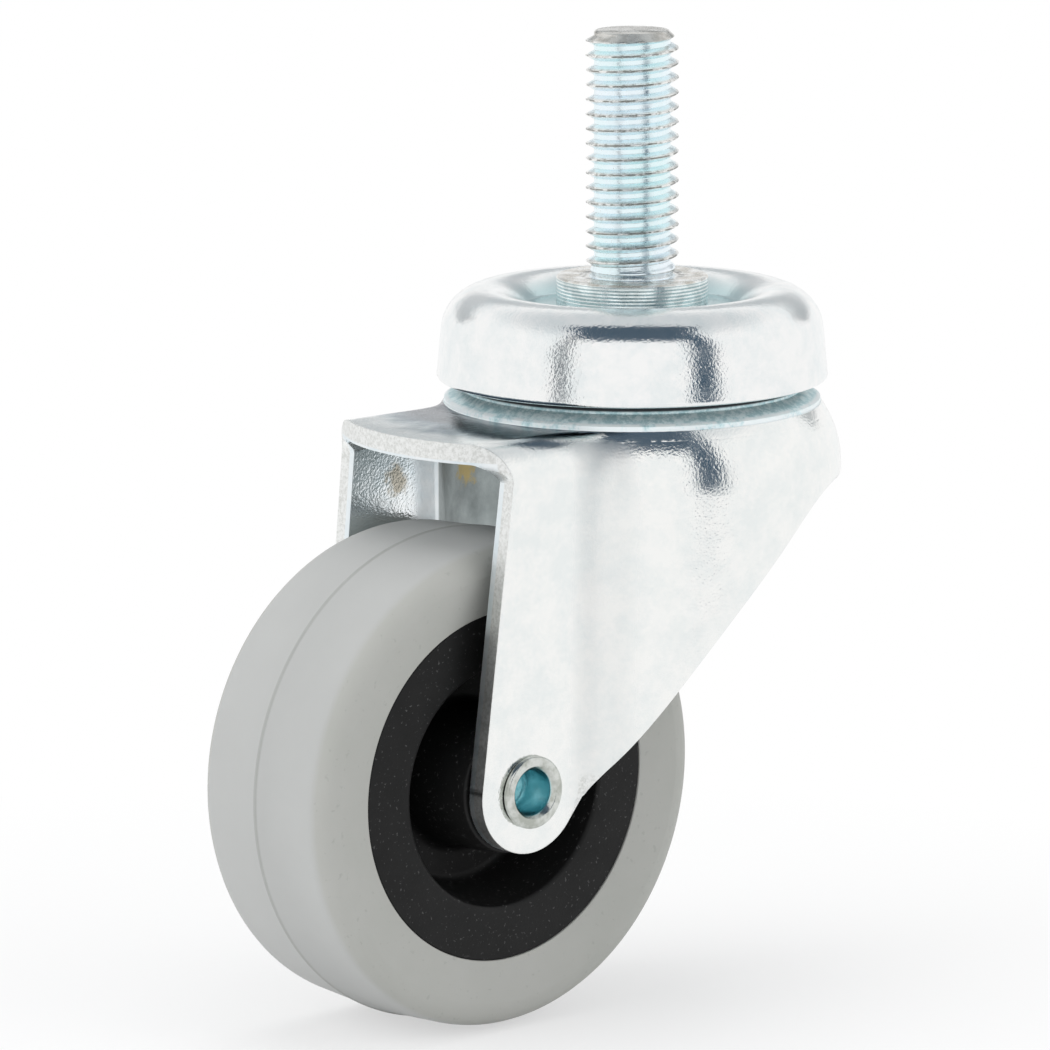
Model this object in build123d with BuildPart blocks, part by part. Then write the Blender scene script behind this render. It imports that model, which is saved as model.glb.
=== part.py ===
from build123d import *
import math
import os

# A swivel castor with a threaded stem, all sizes in millimetres.
# The frame's origin is on the swivel axis, at the flat top of the stem's collar,
# which is the face that the castor is screwed up against. +Z is up along the stem,
# and the wheel trails towards -X, with its axle along Y.

# Stem: one turned piece, from the stud's tip to the riveted tail of its kingpin
stud_diameter = 9.8
stud_length = 25.0
stud_tip_chamfer = 1.2
stud_relief_diameter = 8.3
stud_relief_height = 1.3
stud_foot_dip = 0.15
stud_foot_margin = 0.05
collar_diameter = 15.5
collar_height = 3.2
collar_chamfer = 0.35
kingpin_diameter = 10.0
tenon_diameter = 7.2
tail_diameter = 10.2
tail_height = 1.6
tail_edge_height = 0.5

# Cap: the pressed upper cup that covers the upper balls
cap_sheet = 1.5
cap_rim_diameter = 40.0
cap_height = 9.3
cap_crest_rise = 2.0
cap_crest_radius = 4.3
cap_skirt_flare = 0.9
cap_recess_slope = 50.0
cap_rim_round = 0.45

# Balls: two full rings of loose balls, above and below the crown
upper_ball_diameter = 5.0
lower_ball_diameter = 3.5
ball_clearance = 0.04
ball_spacing_factor = 1.08

# Fork: one deep-drawn sheet with a stepped crown, domed skirt, rounded creases and two flat legs
fork_sheet = 2.0
crown_to_cap_gap = 0.5
crown_hole_clearance = 1.0
step_to_cap_gap = 1.0
bead_diameter = 38.4
bead_inner_rise = 1.45
bead_outer_rise = 0.45
bead_round = 0.4
crown_corner_round = 1.3
race_corner_round = 1.1
step_corner_round = 2.2
step_foot_round = 0.4
inside_race_round = 2.0
inside_foot_round = 1.2
least_inside_round = 0.4
plate_below_cap_rim = 2.4
skirt_past_cap = 1.5
skirt_shoulder_radius = 10.7
skirt_shoulder_rise = 4.4
skirt_hem_drop = 7.2
crease_round = 4.0
crease_top_drop = 1.0
crease_top_widening = 1.0
leg_half_width_top = 13.4
leg_half_width_axle = 12.6
leg_bend_radius = 3.8
leg_front_at_bend = 27.4
plate_front_bulge = 4.5
leg_end_radius = 6.3
leg_rear_touch = -38.0
hem_start_x = 13.0
sweep_start_x = 7.2
sweep_start_z = -21.45
sweep_top_x = 2.0
sweep_top_z = -25.4
sweep_mid_x = -8.7
sweep_mid_z = -37.2
sweep_low_x = -16.0
sweep_low_z = -47.7
form_overrun = 4.0

# Lower race: the pressed washer that the kingpin's tail holds below the lower balls
race_sheet = 1.5
race_outer_diameter = 23.0
race_edge_round = 0.4

# Wheel
wheel_diameter = 50.0
wheel_trail = 24.6
wheel_below_plate = 8.2
tyre_half_width = 9.7
tyre_crown_drop = 0.55
tyre_shoulder_radius = 2.6
parting_ridge_height = 0.12
parting_ridge_width = 0.5
rim_diameter = 35.6
rim_half_width = 8.8
rim_wall = 5.45
rim_rib_width = 6.0
rim_rib_height = 1.2
rim_edge_round = 0.25
web_thickness = 2.6
recess_draft = 1.45
recess_fillet = 0.8
boss_root_diameter = 14.8
boss_tip_diameter = 13.2
boss_end_clearance = 0.35
bore_clearance = 0.05

# Axle: a semi-tubular rivet through a spacer sleeve
rivet_diameter = 5.9
rivet_hole_clearance = 0.05
rivet_flange_diameter = 7.3
rivet_flange_thickness = 0.65
rivet_flange_round = 0.29
rivet_hollow_diameter = 4.6
rivet_hollow_depth = 4.5
rivet_hollow_dome = 1.4
rivet_head_diameter = 9.6
rivet_head_height = 1.9
rivet_head_edge = 0.5
sleeve_wall = 1.0
leg_seat_clearance = 0.12

# Two sizes closer than this are the same
match_tolerance = 0.01

# Heights on the swivel axis, from the top down
recess_floor_z = -collar_height
cap_crest_z = recess_floor_z + cap_crest_rise
cap_rim_z = cap_crest_z - cap_height
crest_center_z = cap_crest_z - cap_crest_radius
crest_center_r = cap_rim_diameter / 2 - cap_skirt_flare - cap_crest_radius
plate_top_z = cap_rim_z - plate_below_cap_rim
crown_top_z = recess_floor_z - cap_sheet - crown_to_cap_gap
hem_z = plate_top_z - skirt_hem_drop
race_step_radius = cap_rim_diameter / 2 - cap_sheet - step_to_cap_gap
skirt_radius = cap_rim_diameter / 2 + skirt_past_cap

# Upper balls lie under the cap's crest, on the flat step of the crown
upper_ball_r = upper_ball_diameter / 2
upper_ball_z = cap_crest_z - cap_sheet - ball_clearance - upper_ball_r
upper_race_z = upper_ball_z - upper_ball_r - ball_clearance
crown_radius = crest_center_r - upper_ball_r - ball_clearance

# Lower balls lie in the corner under the crown, on the lower race
lower_ball_r = lower_ball_diameter / 2
crown_under_z = crown_top_z - fork_sheet
lower_ball_z = crown_under_z - ball_clearance - lower_ball_r
lower_circle_r = crown_radius - fork_sheet - ball_clearance - lower_ball_r
lower_race_z = lower_ball_z - lower_ball_r - ball_clearance
race_boss_radius = lower_circle_r - lower_ball_r - ball_clearance
race_boss_z = lower_ball_z

# Wheel and axle places
wheel_radius = wheel_diameter / 2
axle_x = -wheel_trail
axle_z = plate_top_z - fork_sheet - wheel_below_plate - wheel_radius
axle_line = Axis((axle_x, 0, axle_z), (0, 1, 0))
wheel_plane = Plane(origin=(axle_x, 0, axle_z), x_dir=(0, 1, 0), z_dir=(1, 0, 0))
leg_inner_at_axle = leg_half_width_axle - fork_sheet
leg_lean = math.atan((leg_half_width_top - leg_half_width_axle) / (plate_top_z - axle_z))


def save(builder, name):
    """Label a finished piece and write it to its own file."""
    builder.part.label = name
    export_step(builder.part, f"parts/{name}.step")


def tangent_angle(x, z):
    """The angle, in degrees, where the line from (x, z) touches the front of a leg's round end."""
    away = math.hypot(x - axle_x, z - axle_z)
    angle = math.atan2(z - axle_z, x - axle_x) + math.acos(leg_end_radius / away)
    return math.degrees(angle)


def on_leg_circle(angle):
    """A point of the round end of a leg, at an angle in degrees."""
    turn = math.radians(angle)
    return (axle_x + leg_end_radius * math.cos(turn), axle_z + leg_end_radius * math.sin(turn))


def dome_mid(base_r, base_h, top_h):
    """Halfway along the arc of a round head, from its base corner to the top on the axis."""
    rise = top_h - base_h
    ball = (base_r**2 + rise**2) / (2 * rise)
    half_turn = math.asin(base_r / abs(ball)) / 2
    return (abs(ball) * math.sin(half_turn), top_h - ball * (1 - math.cos(half_turn)))


os.makedirs("parts", exist_ok=True)

# Threaded stem, with its thread left plain at the outer diameter
kingpin_end_z = race_boss_z
tail_top_z = race_boss_z - race_sheet
tail_edge_z = tail_top_z - tail_edge_height
tail_end_z = tail_top_z - tail_height
with BuildPart() as threaded_stem:
    with BuildSketch(Plane.XZ):
        with BuildLine():
            Polyline(
                (0, stud_length),
                (stud_diameter / 2 - stud_tip_chamfer, stud_length),
                (stud_diameter / 2, stud_length - stud_tip_chamfer),
                (stud_diameter / 2, stud_relief_height + (stud_diameter - stud_relief_diameter) / 2),
                (stud_relief_diameter / 2, stud_relief_height),
                (stud_relief_diameter / 2, -stud_foot_dip),
                (stud_diameter / 2 + stud_foot_margin, 0),
                (collar_diameter / 2 - collar_chamfer, 0),
                (collar_diameter / 2, -collar_chamfer),
                (collar_diameter / 2, recess_floor_z),
                (kingpin_diameter / 2, recess_floor_z),
                (kingpin_diameter / 2, kingpin_end_z),
                (tenon_diameter / 2, kingpin_end_z),
                (tenon_diameter / 2, tail_top_z),
                (tail_diameter / 2, tail_top_z),
                (tail_diameter / 2, tail_edge_z),
            )
            ThreePointArc(
                (tail_diameter / 2, tail_edge_z),
                dome_mid(tail_diameter / 2, tail_edge_z, tail_end_z),
                (0, tail_end_z),
            )
            Line((0, tail_end_z), (0, stud_length))
        make_face()
    revolve(axis=Axis.Z)
save(threaded_stem, "threaded_stem")

# Swivel cap: flat floor under the collar, slope up to the crest, round over and flared skirt
recess_turn = math.radians(90 + cap_recess_slope)
skirt_top_r = crest_center_r + cap_crest_radius


def crest_point(radius, angle):
    """A point at an angle round the centre of the cap's crest."""
    return (crest_center_r + radius * math.cos(angle), crest_center_z + radius * math.sin(angle))


def slope_foot(radius, floor_z):
    """Where the recess slope, tangent to the crest at a radius, reaches a floor."""
    start = crest_point(radius, recess_turn)
    drop = start[1] - floor_z
    return (start[0] - drop / math.tan(math.radians(cap_recess_slope)), floor_z)


inner_crest = cap_crest_radius - cap_sheet
with BuildPart() as swivel_cap:
    with BuildSketch(Plane.XZ) as cap_section:
        with BuildLine():
            Polyline(
                (kingpin_diameter / 2, recess_floor_z - cap_sheet),
                (kingpin_diameter / 2, recess_floor_z),
                slope_foot(cap_crest_radius, recess_floor_z),
                crest_point(cap_crest_radius, recess_turn),
            )
            ThreePointArc(
                crest_point(cap_crest_radius, recess_turn),
                crest_point(cap_crest_radius, recess_turn / 2),
                crest_point(cap_crest_radius, 0),
            )
            Polyline(
                (skirt_top_r, crest_center_z),
                (cap_rim_diameter / 2, cap_rim_z),
                (cap_rim_diameter / 2 - cap_sheet, cap_rim_z),
                (skirt_top_r - cap_sheet, crest_center_z),
            )
            ThreePointArc(
                crest_point(inner_crest, 0),
                crest_point(inner_crest, recess_turn / 2),
                crest_point(inner_crest, recess_turn),
            )
            Polyline(
                crest_point(inner_crest, recess_turn),
                slope_foot(inner_crest, recess_floor_z - cap_sheet),
                (kingpin_diameter / 2, recess_floor_z - cap_sheet),
            )
        make_face()
        rim_corners = cap_section.vertices().group_by(Axis.Y)[0]
        fillet(rim_corners, radius=cap_rim_round)
    revolve(axis=Axis.Z)
save(swivel_cap, "swivel_cap")

# Lower race: a dished washer, raised in the middle where the tail holds it
race_flat_z = lower_race_z
with BuildPart() as lower_race:
    with BuildSketch(Plane.XZ) as race_section:
        with BuildLine():
            Polyline(
                (tenon_diameter / 2, race_boss_z),
                (race_boss_radius, race_boss_z),
                (race_boss_radius, race_flat_z),
                (race_outer_diameter / 2, race_flat_z),
                (race_outer_diameter / 2, race_flat_z - race_sheet),
                (race_boss_radius - race_sheet, race_flat_z - race_sheet),
                (race_boss_radius - race_sheet, race_boss_z - race_sheet),
                (tenon_diameter / 2, race_boss_z - race_sheet),
                close=True,
            )
        make_face()
        outer_corners = race_section.vertices().group_by(Axis.X)[-1]
        fillet(outer_corners, radius=race_edge_round)
    revolve(axis=Axis.Z)
save(lower_race, "lower_race")


def ball_ring(name, ball_r, circle_r, z):
    """Write one full ring of loose balls, each in its own file."""
    count = int(2 * math.pi * circle_r / (2 * ball_r * ball_spacing_factor))
    for number in range(count):
        turn = 2 * math.pi * number / count
        with BuildPart(Location((circle_r * math.cos(turn), circle_r * math.sin(turn), z))) as ball:
            Sphere(ball_r)
        save(ball, f"{name}_{number + 1:02d}")


ball_ring("upper_ball", upper_ball_r, crest_center_r, upper_ball_z)
ball_ring("lower_ball", lower_ball_r, lower_circle_r, lower_ball_z)

# Fork: its outer skin and its inner skin are the same form, one sheet apart
crease_x = -math.sqrt(skirt_radius**2 - leg_half_width_top**2)
web_front_x = crease_x - crease_round - form_overrun
channel_front_x = -leg_front_at_bend - plate_front_bulge - form_overrun
channel_rear_x = crease_x + form_overrun
form_bottom_z = axle_z - leg_end_radius - form_overrun
trim_far = 2 * skirt_radius


def leg_half_width(z):
    """Half the fork's outer width across its legs, at a height."""
    return leg_half_width_top - (plate_top_z - z) * math.tan(leg_lean)


def skin_round(radius, inset):
    """The radius of an outer corner, this far in from the sheet's outer face."""
    return max(radius - inset, least_inside_round)


def corners_at(vertices, x):
    """The corners of a section at one distance from the axis, from the top down."""
    found = [v for v in vertices if abs(v.X - x) < match_tolerance]
    return sorted(found, key=lambda v: -v.Y)


def skirt_dome(inset, lean, widening, drop):
    """The round skirt with its domed shoulder, wider and lower by the given amounts."""
    top_z = plate_top_z + skirt_shoulder_rise - inset - drop
    plate_r = skirt_radius - inset + widening
    top_r = plate_r + skirt_shoulder_rise * math.tan(lean)
    bottom_r = plate_r - (plate_top_z - inset - form_bottom_z) * math.tan(lean)
    with BuildPart() as dome:
        with BuildSketch(Plane.XZ) as section:
            with BuildLine():
                Polyline(
                    (0, form_bottom_z),
                    (bottom_r, form_bottom_z),
                    (top_r, top_z),
                    (0, top_z),
                    close=True,
                )
            make_face()
            shoulder = section.vertices().group_by(Axis.Y)[-1].sort_by(Axis.X)[-1]
            fillet(shoulder, radius=skirt_shoulder_radius - inset)
            with Locations((0, plate_top_z - inset - drop)):
                Rectangle(trim_far, trim_far, align=(Align.MIN, Align.MIN), mode=Mode.SUBTRACT)
        revolve(axis=Axis.Z)
    return dome.part


def crease_web(inset, lean):
    """The rounded crease on each side, where a flat leg runs into the round skirt."""
    half_top = leg_half_width(plate_top_z) - inset
    with BuildPart() as web:
        with BuildSketch(Plane.XY.offset(plate_top_z - inset)) as plan:
            Circle(skirt_radius - inset)
            with Locations((web_front_x / 2, 0)):
                Rectangle(-web_front_x, 2 * half_top)
            creases = [v for v in plan.vertices() if abs(abs(v.Y) - half_top) < match_tolerance]
            creases = sorted(creases, key=lambda v: v.X)[2:]
            fillet(creases, radius=crease_round + inset)
        extrude(amount=form_bottom_z - plate_top_z + inset, taper=math.degrees(lean))
        add(skirt_dome(inset, lean, crease_top_widening, crease_top_drop), mode=Mode.INTERSECT)
    return web.part


def fork_form(inset, race_round, foot_round):
    """The solid inside the fork's skin, this far in from its outer face."""
    half_top = leg_half_width(plate_top_z) - inset
    half_bottom = leg_half_width(form_bottom_z) - inset
    lean = math.atan((half_top - half_bottom) / (plate_top_z - inset - form_bottom_z))
    with BuildPart() as form:
        add(skirt_dome(inset, lean, 0, 0))
        add(crease_web(inset, lean))
        # Channel of the top plate and the two legs
        with BuildSketch(Plane.YZ.offset(channel_front_x)) as channel:
            with BuildLine():
                Polyline(
                    (-half_bottom, form_bottom_z),
                    (-half_top, plate_top_z - inset),
                    (half_top, plate_top_z - inset),
                    (half_bottom, form_bottom_z),
                    close=True,
                )
            make_face()
            fillet(channel.vertices().group_by(Axis.Y)[-1], radius=leg_bend_radius - inset)
        extrude(amount=channel_rear_x - channel_front_x)
        # Crown: bead, race step and the raised middle over the lower balls
        with BuildSketch(Plane.XZ) as crown:
            with BuildLine():
                Polyline(
                    (0, crown_top_z - inset),
                    (crown_radius - inset, crown_top_z - inset),
                    (crown_radius - inset, upper_race_z - inset),
                    (race_step_radius - inset, upper_race_z - inset),
                    (race_step_radius - inset, plate_top_z + bead_inner_rise - inset),
                    (bead_diameter / 2 - inset, plate_top_z + bead_outer_rise - inset),
                    (bead_diameter / 2 - inset, plate_top_z - inset - fork_sheet),
                    (0, plate_top_z - inset - fork_sheet),
                    close=True,
                )
            make_face()
            top = corners_at(crown.vertices(), crown_radius - inset)
            step = corners_at(crown.vertices(), race_step_radius - inset)
            bead = corners_at(crown.vertices(), bead_diameter / 2 - inset)
            fillet(top[0], radius=skin_round(crown_corner_round, inset))
            fillet(top[1], radius=race_round)
            fillet(step[0], radius=skin_round(step_corner_round, inset))
            fillet(step[1], radius=foot_round)
            fillet(bead[0], radius=skin_round(bead_round, inset))
        revolve(axis=Axis.Z)
    return form.part


outer_form = fork_form(0, race_corner_round, step_foot_round)
inner_form = fork_form(fork_sheet, inside_race_round, inside_foot_round)

leg_bend_end_z = plate_top_z - leg_bend_radius
front_corner_x = -leg_front_at_bend
front_touch = on_leg_circle(tangent_angle(front_corner_x, leg_bend_end_z))
rear_touch = on_leg_circle(leg_rear_touch)
rear_turn = math.radians(leg_rear_touch)
rear_direction = (math.sin(rear_turn), -math.cos(rear_turn))
with BuildPart() as fork:
    add(outer_form)
    add(inner_form, mode=Mode.SUBTRACT)
    # Side outline: leg front, round end, swept rear edge and skirt hem
    with BuildSketch(Plane.XZ) as side:
        with BuildLine():
            Polyline(
                front_touch,
                (front_corner_x, leg_bend_end_z),
                (-trim_far, leg_bend_end_z),
                (-trim_far, stud_length),
                (trim_far, stud_length),
                (trim_far, hem_z),
                (hem_start_x, hem_z),
            )
            Spline(
                (hem_start_x, hem_z),
                (sweep_start_x, sweep_start_z),
                (sweep_top_x, sweep_top_z),
                (sweep_mid_x, sweep_mid_z),
                (sweep_low_x, sweep_low_z),
                rear_touch,
                tangents=((-1, 0), rear_direction),
            )
            ThreePointArc(rear_touch, on_leg_circle(-90), front_touch)
        make_face()
    extrude(amount=trim_far, both=True, mode=Mode.INTERSECT)
    # Bowed front edge of the top plate
    bulge_x = front_corner_x - plate_front_bulge
    with BuildSketch(Plane.XY.offset(leg_bend_end_z)) as front:
        with BuildLine():
            ThreePointArc(
                (front_corner_x, -leg_half_width_top),
                (bulge_x, 0),
                (front_corner_x, leg_half_width_top),
            )
            Polyline(
                (front_corner_x, leg_half_width_top),
                (front_corner_x, skirt_radius),
                (bulge_x - plate_front_bulge, skirt_radius),
                (bulge_x - plate_front_bulge, -skirt_radius),
                (front_corner_x, -skirt_radius),
                (front_corner_x, -leg_half_width_top),
            )
        make_face()
    extrude(amount=stud_length - leg_bend_end_z, mode=Mode.SUBTRACT)
    # Hole round the kingpin and the two axle holes
    crown_hole_r = kingpin_diameter / 2 + crown_hole_clearance
    with BuildSketch(Plane.XY):
        Circle(crown_hole_r)
    extrude(amount=plate_top_z - fork_sheet, mode=Mode.SUBTRACT)
    with BuildSketch(Plane.XZ):
        with Locations((axle_x, axle_z)):
            Circle(rivet_diameter / 2 + rivet_hole_clearance)
    extrude(amount=trim_far, both=True, mode=Mode.SUBTRACT)
save(fork, "fork")

# Tyre: crowned tread with a fine parting ridge, round shoulders and bulged sides
rim_r = rim_diameter / 2
shoulder_r = wheel_radius - tyre_crown_drop
side_top_r = shoulder_r - tyre_shoulder_radius
ridge_top = wheel_radius + parting_ridge_height
shoulder_start = tyre_half_width - tyre_shoulder_radius
shoulder_mid = tyre_shoulder_radius * math.sqrt(0.5)
with BuildPart() as tyre:
    with BuildSketch(wheel_plane):
        with BuildLine() as half_section:
            Polyline(
                (0, rim_r + rim_rib_height),
                (rim_rib_width / 2, rim_r + rim_rib_height),
                (rim_rib_width / 2, rim_r),
                (rim_half_width, rim_r),
            )
            Line((rim_half_width, rim_r), (tyre_half_width, side_top_r))
            ThreePointArc(
                (tyre_half_width, side_top_r),
                (shoulder_start + shoulder_mid, side_top_r + shoulder_mid),
                (shoulder_start, shoulder_r),
            )
            Polyline(
                (shoulder_start, shoulder_r),
                (parting_ridge_width / 2, wheel_radius),
                (0, ridge_top),
            )
            mirror(about=Plane.YZ)
        make_face()
    revolve(axis=axle_line)
save(tyre, "tyre")

# Wheel hub: rim, thin web and long boss, moulded in one
hub_half_length = leg_inner_at_axle - boss_end_clearance
recess_mouth_r = rim_r - rim_wall
recess_floor_r = recess_mouth_r - recess_draft
sleeve_radius = rivet_diameter / 2 + rivet_hole_clearance + sleeve_wall
bore_radius = sleeve_radius + bore_clearance
with BuildPart() as wheel_hub:
    with BuildSketch(wheel_plane) as hub_section:
        with BuildLine():
            Polyline(
                (0, rim_r + rim_rib_height),
                (rim_rib_width / 2, rim_r + rim_rib_height),
                (rim_rib_width / 2, rim_r),
                (rim_half_width, rim_r),
                (rim_half_width, recess_mouth_r),
                (web_thickness / 2, recess_floor_r),
                (web_thickness / 2, boss_root_diameter / 2),
                (hub_half_length, boss_tip_diameter / 2),
                (hub_half_length, bore_radius),
                (0, bore_radius),
            )
            mirror(about=Plane.YZ)
        make_face()
        web_corners = [v for v in hub_section.vertices() if abs(abs(v.X) - web_thickness / 2) < match_tolerance]
        fillet(web_corners, radius=recess_fillet)
    revolve(axis=axle_line)
    mouth_edges = wheel_hub.edges().filter_by(GeomType.CIRCLE)
    mouths = [e for e in mouth_edges if abs(e.radius - recess_mouth_r) < match_tolerance]
    fillet(mouths, radius=rim_edge_round)
save(wheel_hub, "wheel_hub")

# Axle sleeve: the tube that the rivet clamps between the legs, and that the hub turns on
sleeve_half_length = leg_inner_at_axle - leg_seat_clearance
with BuildPart() as axle_sleeve:
    with BuildSketch(Plane.XZ.offset(-sleeve_half_length)):
        with Locations((axle_x, axle_z)):
            Circle(sleeve_radius)
            Circle(sleeve_radius - sleeve_wall, mode=Mode.SUBTRACT)
    extrude(amount=2 * sleeve_half_length)
save(axle_sleeve, "axle_sleeve")

# Axle rivet: hollow end rolled over on the near side, round head on the far side
rivet_r = rivet_diameter / 2
hollow_r = rivet_hollow_diameter / 2
seat_y = leg_half_width_axle + leg_seat_clearance
flange_y = seat_y + rivet_flange_thickness
head_y = seat_y + rivet_head_height
head_edge_y = seat_y + rivet_head_edge
hollow_floor_y = flange_y - rivet_hollow_depth
hollow_end_y = -hollow_floor_y + rivet_hollow_dome
with BuildPart() as axle_rivet:
    with BuildSketch(wheel_plane) as rivet_section:
        with BuildLine():
            Polyline(
                (-hollow_floor_y, hollow_r),
                (-flange_y, hollow_r),
                (-flange_y, rivet_flange_diameter / 2),
                (-seat_y, rivet_flange_diameter / 2),
                (-seat_y, rivet_r),
                (seat_y, rivet_r),
                (seat_y, rivet_head_diameter / 2),
                (head_edge_y, rivet_head_diameter / 2),
            )
            ThreePointArc(
                (head_edge_y, rivet_head_diameter / 2),
                tuple(reversed(dome_mid(rivet_head_diameter / 2, head_edge_y, head_y))),
                (head_y, 0),
            )
            Line((head_y, 0), (hollow_end_y, 0))
            ThreePointArc(
                (hollow_end_y, 0),
                tuple(reversed(dome_mid(hollow_r, -hollow_floor_y, hollow_end_y))),
                (-hollow_floor_y, hollow_r),
            )
        make_face()
        flange_corners = rivet_section.vertices().group_by(Axis.X)[0]
        fillet(flange_corners, radius=rivet_flange_round)
    revolve(axis=axle_line)
save(axle_rivet, "axle_rivet")
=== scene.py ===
import math

import bmesh
import bpy
from mathutils import Matrix, Vector

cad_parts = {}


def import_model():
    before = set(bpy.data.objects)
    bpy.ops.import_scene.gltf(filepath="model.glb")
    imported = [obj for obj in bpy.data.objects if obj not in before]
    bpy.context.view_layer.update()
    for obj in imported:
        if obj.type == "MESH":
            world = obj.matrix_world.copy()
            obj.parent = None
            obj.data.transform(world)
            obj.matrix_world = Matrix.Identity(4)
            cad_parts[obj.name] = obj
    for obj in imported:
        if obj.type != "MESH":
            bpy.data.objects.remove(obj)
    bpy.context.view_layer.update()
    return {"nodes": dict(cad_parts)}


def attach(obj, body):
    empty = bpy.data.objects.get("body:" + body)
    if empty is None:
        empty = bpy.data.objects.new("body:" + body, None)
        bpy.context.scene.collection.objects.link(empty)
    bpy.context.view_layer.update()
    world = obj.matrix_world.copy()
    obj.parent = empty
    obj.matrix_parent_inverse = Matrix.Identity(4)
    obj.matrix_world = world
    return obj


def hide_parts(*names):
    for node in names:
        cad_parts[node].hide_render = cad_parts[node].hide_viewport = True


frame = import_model()
nodes = frame["nodes"]

# Sizes in millimetres, as in the model
MM = 0.001
AXLE_AT = (-24.6, 0.0, -48.1)
AXLE = Vector(AXLE_AT) * MM
FLOOR_HEIGHT = -73.22 * MM

# The stud and its thread
STUD_LENGTH = 25.0
TIP_RADIUS = 3.7
THREAD_PITCH = 1.5
THREAD_CREST = 4.72
THREAD_ROOT = 3.88
THREAD_ROW = 0.0625
THREAD_START = 0.889
CREST_EDGE = 0.035
FLANK_FOOT = 0.34
RUN_OUT_START = 0.5
RUN_OUT_LENGTH = 1.0
RUN_OUT_RADIUS = 4.28

# The stem below its thread
UNDERCUT_RADIUS = 4.15
COLLAR_RADIUS = 7.75
KINGPIN_RADIUS = 5.0
KINGPIN_FOOT = -8.99
TAIL_NECK_RADIUS = 3.6
TAIL_TOP = -10.49
TAIL_RADIUS = 5.1
TAIL_FOOT = -12.09

# The cap
CAP_SHEET = 1.5
CAP_BORE = 5.02
CAP_FLOOR = -3.2
CAP_FLOOR_RADIUS = 11.12
CAP_CREST = -1.2
CAP_CREST_ROUND = 4.28
CAP_CREST_INNER = 12.8
CAP_CREST_OUTER = 19.1
CAP_RIM = -10.5
CAP_RIM_RADIUS = 20.0
CAP_SLOPE_SHIFT = 0.7

# The wheel
TREAD_RADIUS = 24.98
RIDGE_RADIUS = 25.1
SIDE_CREASE_RADIUS = 22.0
RIM_RADIUS = 17.8
RIM_HALF_WIDTH = 8.8
RING_RADIUS = 19.0
RING_HALF_WIDTH = 3.0
BOND = 0.02
RECESS_RADIUS = 12.35
RECESS_FLOOR_RADIUS = 10.9
WEB_HALF_WIDTH = 1.3
BOSS_RADIUS = 6.6
BOSS_FOOT_RADIUS = 7.4
BOSS_HALF_LENGTH = 10.25
HUB_BORE = 4.05

# The rivet
RIVET_HOLE = 2.3
SHANK_RADIUS = 2.95
FLANGE_RADIUS = 3.7
HEAD_RADIUS = 4.8
LEG_FACE = 12.74

# The fork's outer skin
PLATE_HEIGHT = -12.9
LEG_HALF_WIDTH = 13.4
LEG_LEAN = 0.0227
LEG_BEND = 3.8
LEG_FRONT = -27.4
SKIRT_RADIUS = 21.5
SHOULDER_ROUND = 10.7
SHOULDER_FOOT = -19.2
CREASE_BLEND = 2.9
CREASE_SPREAD = 0.12
LEDGE_HEIGHT = -13.9
LEDGE_RADIUS = 20.3
LEDGE_LIFT = 0.06
CROWN_RADIUS = 19.3
PLATE_HALF_WIDTH = 9.5
FAIRING_LENGTH = 1.8
SWEEP_START = -11.0
SKIN_SHARE = 0.95
SWEEP_SKIN_SHARE = 0.99
CUT_HEIGHTS = (-13.2, -13.5, -14.3, -14.8, -15.3, -16.0, -16.6, -17.2, -18.0, -19.2)
CUT_START = -8.0
CUT_STEP = 0.75
CUT_COUNT = 22

# Where one finish, painted shade, painted highlight or painted reflection gives way to the next, in
# millimetres: none of it at the first, all of it at the second
CAP_POOL = (13.4, 11.2)
BEAD_EDGE = (19.36, 19.26)
BEAD_FOOT = (-13.0, -12.85)
LIP_HIGHLIGHT_EDGE = (18.6, 19.0)
CAP_SHADE = (-11.3, -11.1)
POOL_AND_REFLECTION_REACH = (30.0, 25.0)
POOL_AND_REFLECTION_CORE = (27.5, 22.5)
POOL_AND_REFLECTION_ALONG = (-12.0, -16.0)
POOL_AND_REFLECTION_PLATE = (-13.4, -13.0)
LEG_INSIDE = (12.5, 12.3)
LEG_START = (-14.6, -15.0)
SKIRT_INSIDE = (19.95, 19.75)
INSIDE_TOP = (-14.6, -14.7)
MOUTH_EDGE = (-31.65, -31.85)
FRONT_EDGE = (-25.36, -25.48)
BEND_FOOT = (-16.6, -16.0)
LEG_END = (-48.0, -47.0)
END_EDGE = (6.15, 6.27)
CREASE_REAR = (-12.5, -15.0)
CREASE_FRONT = (-20.5, -18.0)
CREASE_SIDE = (9.0, 11.5)
CREASE_TOP = (-13.2, -14.2)
HOLE_EDGE = (2.45, 2.3)
HOLE_SIDE = (1.0, -1.0)
THREAD_RUBBED = (4.30, 4.55)
THREAD_WORN = (4.64, 4.71)
COLLAR_EDGE = (5.2, 5.5)
COLLAR_FACE = (-0.28, -0.12)
STUD_END = (24.0, 24.3)
TREAD_EDGE = (24.2, 24.5)
PARTING_LINE = (0.34, 0.16)
FLOOR_FADE = (25.0, 110.0)
MOUTH_BOW = -0.02506
FRONT_SLOPE = -0.1127
NEAR_STAIN = (-21.9, 11.3, -20.2)
FAR_STAIN = (-7.0, 18.0, -21.2)

# The camera: angles in degrees, lengths in metres, its lens in pixels of the photograph
CAMERA_TURN = -40.589
CAMERA_RISE = 10.652
CAMERA_ROLL = -0.149
CAMERA_DISTANCE = 0.71003
CAMERA_TARGET = Vector((-0.014454, 0.0, -0.024143))
SENSOR_WIDTH = 36.0
LENS_PIXELS = 7023.55
PICTURE_PIXELS = 1050.0


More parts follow.
